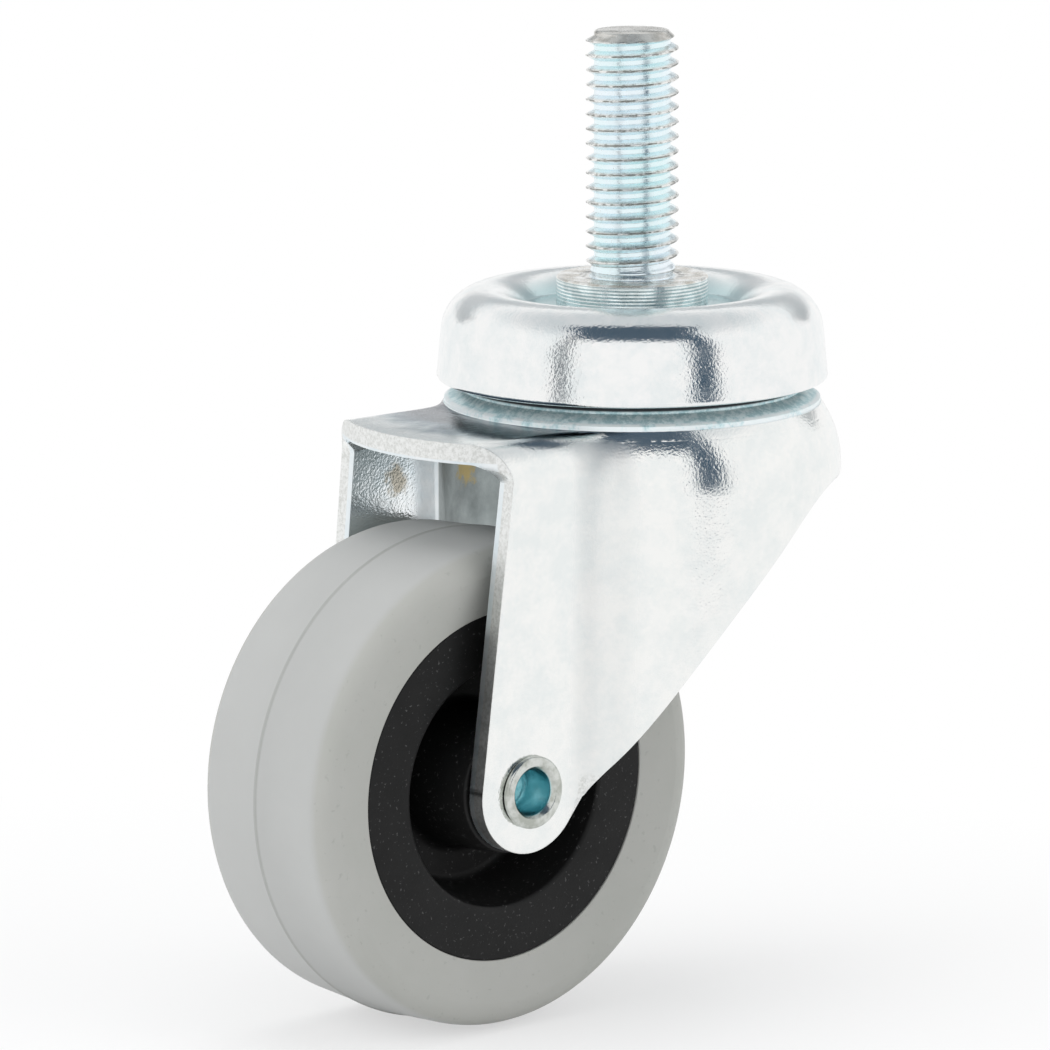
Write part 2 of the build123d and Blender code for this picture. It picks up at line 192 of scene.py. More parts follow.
def half_outline(points):
    """A wire outline in a plane through its axis, from (radius, height, corner rounding) in mm."""
    outline = bmesh.new()
    made = []
    for radius, height, rounding in points:
        made.append(outline.verts.new(Vector((radius, 0.0, height)) * MM))
    for first, second in zip(made, made[1:]):
        outline.edges.new((first, second))
    for vert, (radius, height, rounding) in zip(made, points):
        if rounding > 0:
            ends = [edge.other_vert(vert).co - vert.co for edge in vert.link_edges]
            corner = ends[0].angle(ends[1])
            reach = rounding * MM / math.tan(corner / 2)
            segments = max(3, int(12 * (math.pi - corner) / math.pi) + 2)
            bmesh.ops.bevel(outline, geom=[vert], offset=reach, offset_type="OFFSET",
                            segments=segments, profile=0.5, affect="VERTICES", material=-1)
    return outline


def mirrored(half):
    """A closed outline from its half above the wheel's middle plane."""
    other = [(radius, -height, rounding) for radius, height, rounding in reversed(half)]
    return half + other + half[:1]


def turned(points, steps, wheel=False):
    """A closed turned shape: on the swivel axis, or on the axle when it belongs to the wheel."""
    shape = half_outline(points)
    bmesh.ops.spin(shape, geom=shape.verts[:] + shape.edges[:], cent=(0, 0, 0), axis=(0, 0, 1),
                   angle=math.tau, steps=steps, use_merge=True)
    bmesh.ops.remove_doubles(shape, verts=shape.verts, dist=1e-6)
    bmesh.ops.recalc_face_normals(shape, faces=shape.faces)
    if wheel:
        bmesh.ops.rotate(shape, verts=shape.verts, cent=(0, 0, 0),
                         matrix=Matrix.Rotation(math.pi / 2, 3, "X"))
        bmesh.ops.translate(shape, verts=shape.verts, vec=AXLE)
    return shape


def piece(shape, name, body, material, stands_for, sharp=32):
    """Make the object, smooth all but its sharp corners, and hang it on its body."""
    mesh = bpy.data.meshes.new(name)
    shape.to_mesh(mesh)
    shape.free()
    made = bpy.data.objects.new(name, mesh)
    bpy.context.scene.collection.objects.link(made)
    mesh.materials.append(material)
    mesh.shade_smooth()
    mesh.set_sharp_from_angle(angle=math.radians(sharp))
    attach(made, body)
    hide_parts(stands_for)
    return made


def new_finish(name, metallic, roughness, colour):
    """A finish with its shader and the place on the object that its patterns read."""
    finish = bpy.data.materials.new(name)
    finish.use_nodes = True
    tree = finish.node_tree
    shader = tree.nodes["Principled BSDF"]
    shader.inputs["Metallic"].default_value = metallic
    shader.inputs["Roughness"].default_value = roughness
    shader.inputs["Base Color"].default_value = (*colour, 1)
    place = tree.nodes.new("ShaderNodeTexCoord").outputs["Object"]
    return finish, tree, shader, place


def counted_from(tree, place, centre):
    """The place in millimetres, counted from a point."""
    mapping = tree.nodes.new("ShaderNodeMapping")
    mapping.inputs["Scale"].default_value = (1000, 1000, 1000)
    mapping.inputs["Location"].default_value = tuple(-part for part in centre)
    tree.links.new(place, mapping.inputs["Vector"])
    return mapping.outputs["Vector"]


def grain(tree, place, per_mm, detail=3.0, roughness=0.55):
    """Noise with so many cycles to the millimetre."""
    noise = tree.nodes.new("ShaderNodeTexNoise")
    noise.inputs["Scale"].default_value = per_mm / MM
    noise.inputs["Detail"].default_value = detail
    noise.inputs["Roughness"].default_value = roughness
    tree.links.new(place, noise.inputs["Vector"])
    return noise.outputs["Fac"]


def graded(tree, amount, low, high, start=0.0, end=1.0, soft=False):
    """Turn an amount from one range into another."""
    span = tree.nodes.new("ShaderNodeMapRange")
    if soft:
        span.interpolation_type = "SMOOTHSTEP"
    span.inputs["From Min"].default_value = start
    span.inputs["From Max"].default_value = end
    span.inputs["To Min"].default_value = low
    span.inputs["To Max"].default_value = high
    tree.links.new(amount, span.inputs["Value"])
    return span.outputs["Result"]


def eased(tree, amount, start, end):
    """0 before the start, 1 past the end, and a soft step between them."""
    return graded(tree, amount, 0.0, 1.0, start, end, soft=True)


def patches(tree, place, per_mm, start, end, detail=4.0, roughness=0.55):
    """Broad patches from 0 to 1, between two levels of the noise."""
    return graded(tree, grain(tree, place, per_mm, detail, roughness), 0.0, 1.0, start, end)


def specks(tree, place, per_mm, start, end, detail=4.0, roughness=0.7):
    """Ragged specks with soft edges, between two levels of the noise."""
    return eased(tree, grain(tree, place, per_mm, detail, roughness), start, end)


def tinted(tree, amount, low, high):
    """A colour between two tints, each one fixed or worked out by other nodes."""
    mix = tree.nodes.new("ShaderNodeMix")
    mix.data_type = "RGBA"
    for socket, tint in ((mix.inputs[6], low), (mix.inputs[7], high)):
        if isinstance(tint, tuple):
            socket.default_value = (*tint, 1)
        else:
            tree.links.new(tint, socket)
    tree.links.new(amount, mix.inputs[0])
    return mix.outputs[2]


def worked_out(tree, operation, first, second=None, third=None):
    """One sum on one, two or three amounts."""
    node = tree.nodes.new("ShaderNodeMath")
    node.operation = operation
    for socket, value in zip(node.inputs, (first, second, third)):
        if value is None:
            continue
        if isinstance(value, (int, float)):
            socket.default_value = value
        else:
            tree.links.new(value, socket)
    return node.outputs[0]


def both(tree, first, *others):
    """Where several masks hold together."""
    for other in others:
        first = worked_out(tree, "MULTIPLY", first, other)
    return first


def either(tree, first, *others):
    """Where any of several masks holds."""
    for other in others:
        first = worked_out(tree, "MAXIMUM", first, other)
    return first


def raised(tree, height, depth_mm, under=None):
    """Relief so many millimetres deep, laid over another relief."""
    bump = tree.nodes.new("ShaderNodeBump")
    bump.inputs["Distance"].default_value = depth_mm * MM
    bump.inputs["Strength"].default_value = 1.0
    tree.links.new(height, bump.inputs["Height"])
    if under is not None:
        tree.links.new(under, bump.inputs["Normal"])
    return bump.outputs["Normal"]


def radius_of(tree, place, centre=(0, 0, 0), wheel=False):
    """Distance from an upright axis, or from the axle, and the place in millimetres."""
    split = tree.nodes.new("ShaderNodeSeparateXYZ")
    tree.links.new(counted_from(tree, place, centre), split.inputs[0])
    along = split.outputs[0]
    other = split.outputs[2] if wheel else split.outputs[1]
    squares = worked_out(tree, "ADD", worked_out(tree, "MULTIPLY", along, along),
                         worked_out(tree, "MULTIPLY", other, other))
    return worked_out(tree, "SQRT", squares), split.outputs


def stain(tree, place, centre, reach):
    """A ragged patch round a point, in millimetres."""
    length = tree.nodes.new("ShaderNodeVectorMath")
    length.operation = "LENGTH"
    tree.links.new(counted_from(tree, place, centre), length.inputs[0])
    ragged = graded(tree, grain(tree, place, 0.45, 4.0, 0.7), -0.5 * reach, 0.5 * reach, 0.3, 0.7)
    return eased(tree, worked_out(tree, "ADD", length.outputs["Value"], ragged), reach, 0.45 * reach)


def zinc_skin(tree, place, shader, roughness, speckle, dull=None):
    """Soft draw waves under a fine crystal speckle, and a roughness that grows where it is dull."""
    blotch = grain(tree, place, 0.35, 5.0, 0.65)
    rough = graded(tree, blotch, roughness - 0.03, roughness + 0.06, 0.3, 0.7)
    if dull is not None:
        rough = worked_out(tree, "MULTIPLY_ADD", dull, 0.3, rough)
    tree.links.new(rough, shader.inputs["Roughness"])
    waves = raised(tree, grain(tree, place, 0.10, 2.0), 0.06)
    dents = raised(tree, grain(tree, place, 0.8, 3.0, 0.6), 0.010, waves)
    pits = raised(tree, grain(tree, place, 3.7, 1.5, 0.6), speckle, dents)
    tree.links.new(pits, shader.inputs["Normal"])


def cap_finish():
    """Bright zinc plate on the pressed cap, green and duller in its recess."""
    finish, tree, shader, place = new_finish("bright_zinc_cap", 1.0, 0.12, (0.88, 0.90, 0.91))
    radius, _ = radius_of(tree, place)
    clouds = patches(tree, place, 0.25, 0.40, 0.62, 6.0, 0.75)
    plate = tinted(tree, clouds, (0.91, 0.915, 0.91), (0.82, 0.855, 0.86))
    plate = tinted(tree, eased(tree, radius, *CAP_POOL), plate, (0.52, 0.66, 0.68))
    tree.links.new(plate, shader.inputs["Base Color"])
    zinc_skin(tree, place, shader, 0.12, 0.023)
    return finish


def bead_tint_and_lip_highlight(tree, place, radius):
    """Blue-green passivation on the bead, darkened in part as painted shade from the cap, with a painted
    highlight along its lip.
    """
    # The teal stands for blue passivation and, in part, painted shade from the cap overhead.
    tone = specks(tree, place, 1.3, 0.38, 0.62)
    bead = tinted(tree, tone, (0.46, 0.68, 0.72), (0.82, 0.97, 0.99))
    # Painted highlight: a pale, specked band along the bead's lip.
    lip = both(tree, eased(tree, radius, *LIP_HIGHLIGHT_EDGE), specks(tree, place, 0.35, 0.34, 0.52))
    return tinted(tree, lip, bead, (0.90, 0.96, 0.97))


def pool_tint_and_dark_reflection(tree, place, from_bead):
    """Blue passivation pooled on the plate beside the bead, darkened as a painted dark reflection with
    pale specks.
    """
    core = eased(tree, from_bead, *POOL_AND_REFLECTION_CORE)
    # Painted dark reflection: near black in the core, with pale specks laid over it.
    pool = tinted(tree, core, (0.20, 0.28, 0.33), (0.025, 0.045, 0.07))
    return tinted(tree, specks(tree, place, 4.0, 0.60, 0.72, 3.0), pool, (0.40, 0.48, 0.50))


def inside_tint_and_shade(tree, place, in_skirt):
    """Dull plate inside the fork: dark grey painted shade under the skirt, with two brown stains."""
    tone = patches(tree, place, 0.22, 0.35, 0.65, 4.0, 0.6)
    legs = tinted(tree, tone, (0.78, 0.86, 0.90), (0.92, 0.95, 0.96))
    # Painted shade: under the skirt the inside is coloured dark grey, as if the skirt shades it; dull
    # below holds this shaded colour.
    skirt = tinted(tree, tone, (0.22, 0.25, 0.25), (0.36, 0.40, 0.40))
    dull = tinted(tree, in_skirt, legs, skirt)
    dull = tinted(tree, stain(tree, place, NEAR_STAIN, 1.9), dull, (0.52, 0.49, 0.42))
    return tinted(tree, stain(tree, place, FAR_STAIN, 2.4), dull, (0.40, 0.32, 0.14))


def sheared_edge(tree, place, along, across, height):
    """The cut edge of the sheet: round the fork's mouth, down the legs and round their ends."""
    bow = worked_out(tree, "MULTIPLY_ADD", worked_out(tree, "MULTIPLY", across, across), MOUTH_BOW, along)
    mouth = both(tree, eased(tree, bow, *MOUTH_EDGE), eased(tree, height, *BEND_FOOT))
    front = worked_out(tree, "MULTIPLY_ADD", height, FRONT_SLOPE, along)
    legs = both(tree, eased(tree, front, *FRONT_EDGE), eased(tree, height, *reversed(BEND_FOOT)),
                eased(tree, height, *LEG_END))
    from_axle, _ = radius_of(tree, place, AXLE_AT, wheel=True)
    ends = both(tree, eased(tree, from_axle, *END_EDGE), eased(tree, height, *reversed(LEG_END)))
    return either(tree, mouth, legs, ends)


def fork_finish():
    """Bright zinc plate on the drawn fork: blue by the bead with painted shade, a painted highlight on its
    lip and a painted shadow under the cap, a painted dark reflection on the plate beside it, dull inside
    with painted shade under the skirt, nicked along its cut edge.
    """
    finish, tree, shader, place = new_finish("bright_zinc_fork", 1.0, 0.14, (0.9, 0.9, 0.89))
    radius, (along, across, height) = radius_of(tree, place)
    clouds = patches(tree, place, 0.25, 0.40, 0.62, 6.0, 0.75)
    plate = tinted(tree, clouds, (0.91, 0.915, 0.90), (0.83, 0.86, 0.855))

    on_bead = both(tree, eased(tree, radius, *BEAD_EDGE), eased(tree, height, *BEAD_FOOT))
    painted_cap_shadow = both(tree, on_bead, eased(tree, height, *CAP_SHADE))
    # On the bead: teal with painted shade, and a painted highlight on its lip.
    plate = tinted(tree, on_bead, plate, bead_tint_and_lip_highlight(tree, place, radius))
    # Painted shadow: the bead just under the cap's rim is coloured near black.
    plate = tinted(tree, painted_cap_shadow, plate, (0.015, 0.02, 0.025))
    tree.links.new(worked_out(tree, "MULTIPLY_ADD", on_bead, -0.65, 1.0), shader.inputs["Metallic"])

    # Painted dark reflection over blue passivation beside the bead, with a wandering edge.
    drift = graded(tree, grain(tree, place, 0.12, 4.0, 0.6), -2.0, 2.0, 0.3, 0.7)
    from_bead = worked_out(tree, "ADD", radius, drift)
    by_bead = both(tree, eased(tree, from_bead, *POOL_AND_REFLECTION_REACH), eased(tree, along, *POOL_AND_REFLECTION_ALONG),
                   eased(tree, height, *POOL_AND_REFLECTION_PLATE), eased(tree, radius, *reversed(BEAD_EDGE)))
    plate = tinted(tree, by_bead, plate, pool_tint_and_dark_reflection(tree, place, from_bead))

    sheared = sheared_edge(tree, place, along, across, height)
    nicks = specks(tree, place, 2.6, 0.36, 0.60, 4.0, 0.75)
    nicked = tinted(tree, nicks, (0.72, 0.73, 0.71), (0.90, 0.91, 0.90))
    plate = tinted(tree, sheared, plate, nicked)

    sideways = worked_out(tree, "ABSOLUTE", across)
    leant = worked_out(tree, "MULTIPLY_ADD", height, -LEG_LEAN, sideways)
    in_legs = both(tree, eased(tree, leant, *LEG_INSIDE), eased(tree, along, *LEG_START))
    in_skirt = eased(tree, radius, *SKIRT_INSIDE)
    inside = both(tree, either(tree, in_legs, in_skirt), eased(tree, height, *INSIDE_TOP))
    # The inside tint carries the painted shade under the skirt and two brown stains.
    plate = tinted(tree, inside, plate, inside_tint_and_shade(tree, place, in_skirt))
    tree.links.new(plate, shader.inputs["Base Color"])

    in_crease = both(tree, eased(tree, along, *CREASE_REAR), eased(tree, along, *CREASE_FRONT),
                     eased(tree, sideways, *CREASE_SIDE), eased(tree, height, *CREASE_TOP))
    dull_parts = either(tree, on_bead, both(tree, inside, in_skirt), sheared, in_crease)
    zinc_skin(tree, place, shader, 0.13, 0.023, dull_parts)
    return finish


def rivet_finish():
    """Bright zinc on the rivet: rubbed flange and head, teal down its hole."""
    finish, tree, shader, place = new_finish("bright_zinc_rivet", 1.0, 0.2, (0.8, 0.82, 0.8))
    radius, (along, across, height) = radius_of(tree, place, AXLE_AT, wheel=True)
    rubbed = patches(tree, place, 0.8, 0.4, 0.62)
    flange = tinted(tree, rubbed, (0.66, 0.68, 0.65), (0.44, 0.46, 0.42))
    hole = tinted(tree, patches(tree, place, 0.7, 0.4, 0.6, 3.0), (0.34, 0.60, 0.64), (0.50, 0.74, 0.78))
    in_hole = both(tree, eased(tree, radius, *HOLE_EDGE), eased(tree, across, *HOLE_SIDE))
    tree.links.new(tinted(tree, in_hole, flange, hole), shader.inputs["Base Color"])
    zinc_skin(tree, place, shader, 0.2, 0.012)
    return finish


def thread_tint(tree, place, radius):
    """Pale blue thread roots and flanks, with rubbed crests that are worn dark in places."""
    root = tinted(tree, patches(tree, place, 0.12, 0.35, 0.65, 3.0), (0.80, 0.95, 0.97), (0.88, 0.95, 1.0))
    rubbed = tinted(tree, specks(tree, place, 1.6, 0.50, 0.66), (0.92, 0.92, 0.90), (0.52, 0.51, 0.48))
    thread = tinted(tree, eased(tree, radius, *THREAD_RUBBED), root, rubbed)
    worn = both(tree, eased(tree, radius, *THREAD_WORN), specks(tree, place, 0.9, 0.42, 0.55, 4.0, 0.55))
    return tinted(tree, worn, thread, (0.30, 0.30, 0.28))


def stem_finish():
    """Blue zinc on the turned stem: its thread, the collar with turning lines, and a grey end."""
    finish, tree, shader, place = new_finish("blue_zinc_stem", 1.0, 0.25, (0.6, 0.76, 0.8))
    radius, (along, across, height) = radius_of(tree, place)
    rubbed = patches(tree, place, 0.5, 0.42, 0.6)
    collar = tinted(tree, rubbed, (0.92, 1.0, 1.0), (0.66, 0.73, 0.73))
    top_face = tinted(tree, rubbed, (0.95, 0.95, 0.93), (0.62, 0.59, 0.53))
    collar = tinted(tree, eased(tree, height, *COLLAR_FACE), collar, top_face)
    end = tinted(tree, rubbed, (0.70, 0.69, 0.66), (0.42, 0.41, 0.38))
    on_collar = eased(tree, radius, *COLLAR_EDGE)
    finished = tinted(tree, on_collar, thread_tint(tree, place, radius), collar)
    finished = tinted(tree, eased(tree, height, *STUD_END), finished, end)
    tree.links.new(finished, shader.inputs["Base Color"])

    lines = tree.nodes.new("ShaderNodeTexWave")
    lines.wave_type = "BANDS"
    lines.bands_direction = "Z"
    lines.inputs["Scale"].default_value = 900.0
    lines.inputs["Distortion"].default_value = 0.4
    lines.inputs["Detail"].default_value = 2.0
    tree.links.new(place, lines.inputs["Vector"])
    ridges = raised(tree, both(tree, lines.outputs["Fac"], on_collar), 0.025)
    pits = raised(tree, grain(tree, place, 3.6, 3.0, 0.7), 0.010, ridges)
    tree.links.new(pits, shader.inputs["Normal"])
    rough = graded(tree, grain(tree, place, 0.8, 4.0), 0.18, 0.34, 0.3, 0.7)
    tree.links.new(rough, shader.inputs["Roughness"])
    return finish


def grey_rubber():
    """Matt light grey tyre: fine mould skin, faint cloudiness, dust specks and a parting line."""
    finish, tree, shader, place = new_finish("grey_rubber", 0.0, 0.55, (0.45, 0.45, 0.43))
    shader.inputs["Specular IOR Level"].default_value = 0.3
    radius, (along, across, height) = radius_of(tree, place, AXLE_AT, wheel=True)
    cloud = patches(tree, place, 0.06, 0.35, 0.68, 4.0, 0.6)
    side = tinted(tree, cloud, (0.435, 0.44, 0.41), (0.475, 0.475, 0.45))
    dust = graded(tree, grain(tree, place, 1.6, 2.0, 0.5), 0.0, 0.3, 0.66, 0.74)
    side = tinted(tree, dust, side, (0.30, 0.30, 0.28))
    on_tread = graded(tree, radius, 0.0, 1.0, *TREAD_EDGE)
    tread = tinted(tree, cloud, (0.465, 0.47, 0.46), (0.495, 0.50, 0.49))
    parting = eased(tree, worked_out(tree, "ABSOLUTE", across), *PARTING_LINE)
    rubber = tinted(tree, on_tread, side, tread)
    rubber = tinted(tree, both(tree, parting, on_tread), rubber, (0.40, 0.405, 0.39))
    tree.links.new(rubber, shader.inputs["Base Color"])
    skin = raised(tree, grain(tree, place, 3.0, 4.0, 0.6), 0.014)
    sag = raised(tree, grain(tree, place, 0.10, 2.0), 0.12, skin)
    tree.links.new(sag, shader.inputs["Normal"])
    tree.links.new(graded(tree, cloud, 0.50, 0.64), shader.inputs["Roughness"])
    return finish


def black_plastic():
    """Black moulded hub: fine spark grain with a few pale flecks."""
    finish, tree, shader, place = new_finish("black_moulded_plastic", 0.0, 0.5, (0.012, 0.012, 0.012))
    shader.inputs["Specular IOR Level"].default_value = 0.2
    flecks = patches(tree, place, 2.6, 0.64, 0.72, 2.0, 0.6)
    plastic = tinted(tree, flecks, (0.009, 0.009, 0.009), (0.07, 0.07, 0.07))
    tree.links.new(plastic, shader.inputs["Base Color"])
    spark = raised(tree, grain(tree, place, 3.2, 4.0, 0.65), 0.03)
    tree.links.new(spark, shader.inputs["Normal"])
    rough = graded(tree, grain(tree, place, 0.3, 3.0), 0.42, 0.6, 0.3, 0.7)
    tree.links.new(rough, shader.inputs["Roughness"])
    return finish


def plain_steel(name, colour, roughness, per_mm):
    """Oiled steel inside the swivel: fine ground lines and faint stains."""
    finish, tree, shader, place = new_finish(name, 1.0, roughness, colour)
    darker = tuple(0.7 * part for part in colour)
    smudge = graded(tree, grain(tree, place, 0.4, 4.0), 0.0, 0.6, 0.45, 0.7)
    tree.links.new(tinted(tree, smudge, colour, darker), shader.inputs["Base Color"])
    tree.links.new(raised(tree, grain(tree, place, per_mm, 3.0), 0.006), shader.inputs["Normal"])
    tree.links.new(graded(tree, smudge, roughness, roughness + 0.15), shader.inputs["Roughness"])
    return finish


stem_zinc = stem_finish()
cap_zinc = cap_finish()
fork_zinc = fork_finish()
rivet_zinc = rivet_finish()
tyre_rubber = grey_rubber()
hub_plastic = black_plastic()
race_steel = plain_steel("race_steel", (0.55, 0.56, 0.58), 0.3, 5.0)
ball_steel = plain_steel("ball_steel", (0.66, 0.67, 0.69), 0.1, 9.0)


def cut_thread(shape):
    """Press the thread's grooves into the stud, running out above the undercut."""
    for vert in shape.verts:
        radius = math.hypot(vert.co.x, vert.co.y) / MM
        height = vert.co.z / MM
        if height < RUN_OUT_START or radius < 3.0:
            continue
        turn = math.atan2(vert.co.y, vert.co.x) / math.tau
        phase = ((height - THREAD_START) / THREAD_PITCH - turn) % 1.0
        from_crest = min(phase, 1.0 - phase)
        rise = min(max((FLANK_FOOT - from_crest) / (FLANK_FOOT - CREST_EDGE), 0.0), 1.0)
        fade = min(max((height - RUN_OUT_START) / RUN_OUT_LENGTH, 0.0), 1.0)
        groove = THREAD_ROOT + (THREAD_CREST - THREAD_ROOT) * rise
        wanted = RUN_OUT_RADIUS + (groove - RUN_OUT_RADIUS) * fade
        wanted = min(wanted, TIP_RADIUS + STUD_LENGTH - height)
        vert.co.x *= wanted / radius
        vert.co.y *= wanted / radius


def stem():
    """The turned stem from its threaded tip to the riveted tail of its kingpin."""
    outline = [(0, STUD_LENGTH, 0), (TIP_RADIUS, STUD_LENGTH, 0.15)]
    rows = int((STUD_LENGTH - RUN_OUT_START) / THREAD_ROW)
    for row in range(1, rows + 1):
        outline.append((THREAD_CREST, STUD_LENGTH - row * THREAD_ROW, 0))
    outline += [
        (UNDERCUT_RADIUS, 0.4, 0), (UNDERCUT_RADIUS, -0.15, 0.15), (4.95, 0.0, 0),
        (COLLAR_RADIUS, 0.0, 0.3), (COLLAR_RADIUS, CAP_FLOOR, 0.0), (KINGPIN_RADIUS, CAP_FLOOR, 0),
        (KINGPIN_RADIUS, KINGPIN_FOOT, 0), (TAIL_NECK_RADIUS, KINGPIN_FOOT, 0),
        (TAIL_NECK_RADIUS, TAIL_TOP, 0), (TAIL_RADIUS, TAIL_TOP, 0), (TAIL_RADIUS, -10.99, 0.2),
        (3.4, -11.8, 0.5), (0, TAIL_FOOT, 0),
    ]
    shape = turned(outline, 144)
    cut_thread(shape)
    piece(shape, "turned_stem", "mount", stem_zinc, "threaded_stem", sharp=75)


def cap():
    """The pressed cap: flat floor, sloped recess, round crest and flared skirt, one sheet thick."""
    under_floor = CAP_FLOOR - CAP_SHEET
    under_crest = CAP_CREST - CAP_SHEET
    under_round = CAP_CREST_ROUND - CAP_SHEET
    outline = [
        (CAP_BORE, under_floor, 0), (CAP_BORE, CAP_FLOOR, 0), (CAP_FLOOR_RADIUS, CAP_FLOOR, 0.8),
        (CAP_CREST_INNER, CAP_CREST, CAP_CREST_ROUND), (CAP_CREST_OUTER, CAP_CREST, CAP_CREST_ROUND),
        (CAP_RIM_RADIUS, CAP_RIM, 0.45), (CAP_RIM_RADIUS - CAP_SHEET, CAP_RIM, 0.3),
        (CAP_CREST_OUTER - CAP_SHEET, under_crest, under_round),
        (CAP_CREST_INNER + CAP_SLOPE_SHIFT, under_crest, under_round),
        (CAP_FLOOR_RADIUS + CAP_SLOPE_SHIFT, under_floor, 0.6), (CAP_BORE, under_floor, 0),
    ]
    shape = turned(outline, 192)
    piece(shape, "pressed_cap", "mount", cap_zinc, "swivel_cap")


def tyre():
    """The tyre: crowned tread with its parting ridge, round shoulders and a soft side crease."""
    half = [
        (RING_RADIUS, RING_HALF_WIDTH, 0), (RIM_RADIUS, RING_HALF_WIDTH, 0), (RIM_RADIUS, 8.86, 0.15),
        (SIDE_CREASE_RADIUS, 9.72, 0.8), (24.45, 9.55, 2.4), (TREAD_RADIUS, 0.28, 0),
        (RIDGE_RADIUS, 0.10, 0.05),
    ]
    shape = turned(mirrored(half), 224, wheel=True)
    piece(shape, "moulded_tyre", "wheel", tyre_rubber, "tyre")


def hub():
    """The moulded hub: rim with rounded lips, drafted recesses, thin web and long boss."""
    rim = RIM_RADIUS - BOND
    half = [
        (RING_RADIUS - BOND, RING_HALF_WIDTH, 0), (rim, RING_HALF_WIDTH, 0), (rim, RIM_HALF_WIDTH, 0.2),
        (RECESS_RADIUS, RIM_HALF_WIDTH, 0.45), (RECESS_FLOOR_RADIUS, WEB_HALF_WIDTH, 0.9),
        (BOSS_FOOT_RADIUS, WEB_HALF_WIDTH, 0.9), (BOSS_RADIUS, BOSS_HALF_LENGTH, 0.3),
        (HUB_BORE, BOSS_HALF_LENGTH, 0.15),
    ]
    shape = turned(mirrored(half), 192, wheel=True)
    piece(shape, "moulded_hub", "wheel", hub_plastic, "wheel_hub")


def rivet():
    """The axle rivet: rolled hollow end on the near side and a round head on the far side."""
    outline = [
        (0, 7.6, 0), (1.3, 8.0, 0.6), (RIVET_HOLE, 9.0, 0.9), (RIVET_HOLE, 12.9, 0.25), (2.75, 13.38, 0.3),
        (3.65, 13.3, 0.3), (FLANGE_RADIUS, LEG_FACE, 0.2), (SHANK_RADIUS, LEG_FACE, 0),
        (SHANK_RADIUS, -LEG_FACE, 0), (HEAD_RADIUS, -LEG_FACE, 0), (HEAD_RADIUS, -13.2, 0.3),
        (3.4, -14.25, 1.2), (0, -14.6, 0),
    ]
    shape = turned(outline, 128, wheel=True)
    piece(shape, "rolled_rivet", "fork", rivet_zinc, "axle_rivet")


def skin_radius(turn, height):
    """Distance of the fork's outer skin from the swivel axis: domed skirt, legs and a soft crease."""
    leant = LEG_LEAN * (PLATE_HEIGHT - height)
    skirt = SKIRT_RADIUS - leant
    if height > SHOULDER_FOOT:
        foot = SKIRT_RADIUS - LEG_LEAN * (PLATE_HEIGHT - SHOULDER_FOOT)
        skirt = foot - SHOULDER_ROUND + math.sqrt(SHOULDER_ROUND**2 - (height - SHOULDER_FOOT)**2)
    if abs(turn) < math.pi / 2:
        return skirt
    side = LEG_HALF_WIDTH - leant
    bend_height = PLATE_HEIGHT - LEG_BEND
    if height > bend_height:
        start = LEG_HALF_WIDTH - LEG_LEAN * LEG_BEND - LEG_BEND
        side = start + math.sqrt(max(LEG_BEND**2 - (height - bend_height)**2, 0.0))
    leg = side / max(abs(math.sin(turn)), 0.05)
    blend = CREASE_BLEND + CREASE_SPREAD * max(height - SHOULDER_FOOT, 0.0)
    return max(skirt, leg) + max(blend - abs(skirt - leg), 0.0)**2 / (4 * blend)


def round_skin(shape):
    """Round the skirt's shoulder and its creases, and even out the front edge of the bends."""
    for vert in shape.verts:
        along, across, height = vert.co / MM
        radius = math.hypot(along, across)
        if along < LEG_FRONT - 0.01 and height > PLATE_HEIGHT - LEG_BEND - 0.1:
            rise = min(max((height - PLATE_HEIGHT + LEG_BEND) / FAIRING_LENGTH, 0.0), 1.0)
            vert.co.x = (LEG_FRONT + (along - LEG_FRONT) * rise * rise * (3 - 2 * rise)) * MM
            continue
        if height > PLATE_HEIGHT + 0.01 or along < LEG_FRONT + 1.0 or radius < CROWN_RADIUS:
            continue
        if abs(height - LEDGE_HEIGHT) < 0.01 and radius < LEDGE_RADIUS:
            height += LEDGE_LIFT
            vert.co.z = height * MM
        wanted = skin_radius(math.atan2(across, along), min(height, PLATE_HEIGHT))
        on_sweep = height < SHOULDER_FOOT and along > SWEEP_START
        on_plate = height > PLATE_HEIGHT - 0.02 and abs(across) < PLATE_HALF_WIDTH
        if radius < (SWEEP_SKIN_SHARE if on_sweep else SKIN_SHARE) * wanted or on_plate:
            continue
        vert.co.x *= wanted / radius
        vert.co.y *= wanted / radius


